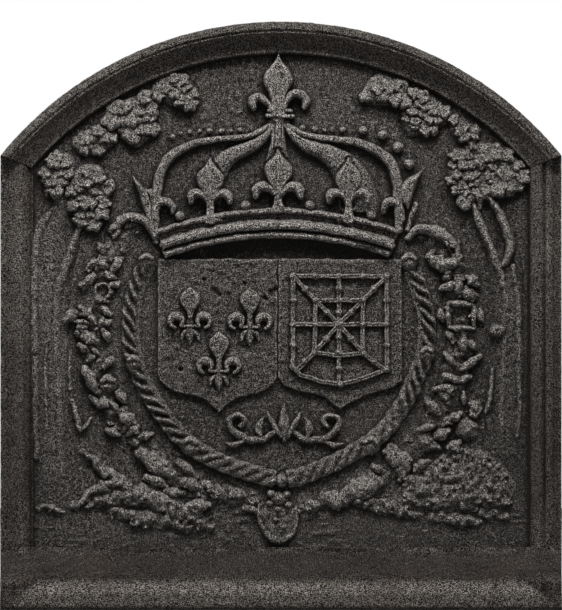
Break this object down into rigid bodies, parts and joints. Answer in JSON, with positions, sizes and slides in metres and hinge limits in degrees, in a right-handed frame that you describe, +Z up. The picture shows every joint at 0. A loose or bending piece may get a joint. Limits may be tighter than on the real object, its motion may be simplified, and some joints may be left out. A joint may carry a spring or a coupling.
{
  "type": "fireback",
  "caption": "Arched cast-iron fireback with a moulded frame and a heraldic relief: a closed crown over side-by-side shields, ringed by collars and flanked by trees.",
  "frame": {"origin": "middle of the foot of the plate, halfway through its overall depth", "axes": "+Z up, +Y towards the chimney wall behind the flat back; the relief faces -Y and +X is to the right of someone facing the relief"},
  "size_m": [0.7, 0.042, 0.734],
  "materials": {
    "plate_iron": "rough sand-cast face, blackened",
    "moulding_iron": "smoother struck moulding, blackened, faint rust on the lip",
    "shield_iron": "rough sand-cast face, blackened",
    "relief_iron": "blackened relief, rubbed grey on its high points",
    "tree_iron": "coarse sand-cast foliage, blackened"
  },
  "bodies": {
    "root": {"back_plate": "plate_iron", "arch_moulding": "moulding_iron", "left_moulding": "moulding_iron", "right_moulding": "moulding_iron", "base_moulding": "moulding_iron", "crown_finial": "relief_iron", "crown_finial_collar": "relief_iron", "crown_centre_arch": "relief_iron", "crown_left_inner_arch": "relief_iron", "crown_right_inner_arch": "relief_iron", "crown_left_outer_arch": "relief_iron", "crown_right_outer_arch": "relief_iron", "crown_centre_fleuron": "relief_iron", "crown_left_fleuron": "relief_iron", "crown_right_fleuron": "relief_iron", "crown_left_end_leaf": "relief_iron", "crown_right_end_leaf": "relief_iron", "crown_arch_pearls": "relief_iron", "crown_band_pearls": "relief_iron", "crown_band": "relief_iron", "left_shield": "shield_iron", "right_shield": "shield_iron", "upper_left_fleur": "relief_iron", "upper_right_fleur": "relief_iron", "lower_fleur": "relief_iron", "chain_border": "relief_iron", "chain_cross": "relief_iron", "chain_diagonals": "relief_iron", "chain_square": "relief_iron", "chain_boss": "relief_iron", "cord_left": "relief_iron", "cord_right": "relief_iron", "cord_shells": "relief_iron", "cord_knob": "relief_iron", "collar_left": "relief_iron", "collar_right": "relief_iron", "collar_pendant": "relief_iron", "leaf_scroll": "relief_iron", "leaf_bud": "relief_iron", "left_trunk": "tree_iron", "right_trunk": "tree_iron", "left_top_leaves": "tree_iron", "left_corner_leaves": "tree_iron", "right_top_leaves": "tree_iron", "right_corner_leaves": "tree_iron", "left_bank": "tree_iron", "right_bush": "tree_iron"}
  },
  "joints": []
}
